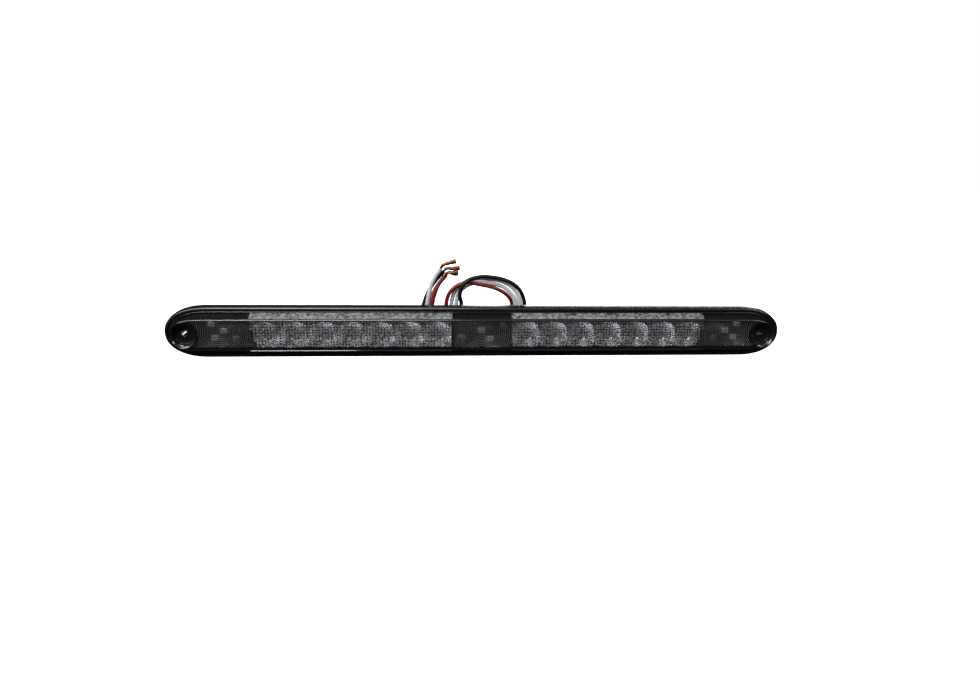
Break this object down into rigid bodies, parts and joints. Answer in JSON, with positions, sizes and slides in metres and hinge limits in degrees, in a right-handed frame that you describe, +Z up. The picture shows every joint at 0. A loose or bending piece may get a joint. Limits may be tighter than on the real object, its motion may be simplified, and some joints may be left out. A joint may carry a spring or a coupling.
{
  "type": "third brake light",
  "caption": "Slim bar-shaped LED third brake light with smoked lens, black tray housing, end screw recesses and short bare-ended leads.",
  "frame": {"origin": "centre of the flat mounting face, midway between the two mounting screws", "axes": "+X along the bar to the viewer's right, +Y out of the back of the light into the panel it is screwed to, +Z up; the lens looks along -Y"},
  "size_m": [0.4076, 0.0343, 0.0624],
  "materials": {
    "black_housing": "black ABS, lightly glossy moulded face",
    "foam": "matt closed-cell foam",
    "rubber": "matt black rubber",
    "smoked_lens": "clear smoked polycarbonate, polished outside",
    "board": "dark solder mask on glass-fibre board",
    "reflector": "vacuum-metallised plastic",
    "led": "white package with clear yellow-toned encapsulant",
    "ceramic": "matt component body",
    "aluminium": "satin can",
    "steel": "zinc-plated",
    "black_pvc": "PVC insulation, satin",
    "white_pvc": "PVC insulation, satin",
    "red_pvc": "PVC insulation, satin",
    "copper": "bare stranded copper"
  },
  "bodies": {
    "root": {"rear_housing": "black_housing", "mounting_gasket": "foam", "lens_seal": "rubber", "lead_grommet": "rubber", "smoked_lens": "smoked_lens", "circuit_board": "board", "reflector_left": "reflector", "reflector_right": "reflector", "brake_led_left_1": "led", "brake_led_left_2": "led", "brake_led_left_3": "led", "brake_led_left_4": "led", "brake_led_left_5": "led", "brake_led_left_6": "led", "brake_led_left_7": "led", "brake_led_right_1": "led", "brake_led_right_2": "led", "brake_led_right_3": "led", "brake_led_right_4": "led", "brake_led_right_5": "led", "brake_led_right_6": "led", "brake_led_right_7": "led", "id_led_left_1": "led", "id_led_left_2": "led", "id_led_left_3": "led", "id_led_center_1": "led", "id_led_center_2": "led", "id_led_right_1": "led", "id_led_right_2": "led", "id_led_right_3": "led", "board_screw_left": "steel", "board_screw_center": "steel", "board_screw_right": "steel", "resistor_left": "ceramic", "resistor_right": "ceramic", "resistor_center_1": "ceramic", "resistor_center_2": "ceramic", "diode_brake": "ceramic", "diode_running": "ceramic", "filter_capacitor": "aluminium", "lead_black": "black_pvc", "lead_black_copper": "copper", "lead_white_a": "white_pvc", "lead_white_a_copper": "copper", "lead_white_b": "white_pvc", "lead_white_b_copper": "copper", "lead_red": "red_pvc", "lead_red_copper": "copper"}
  },
  "joints": []
}
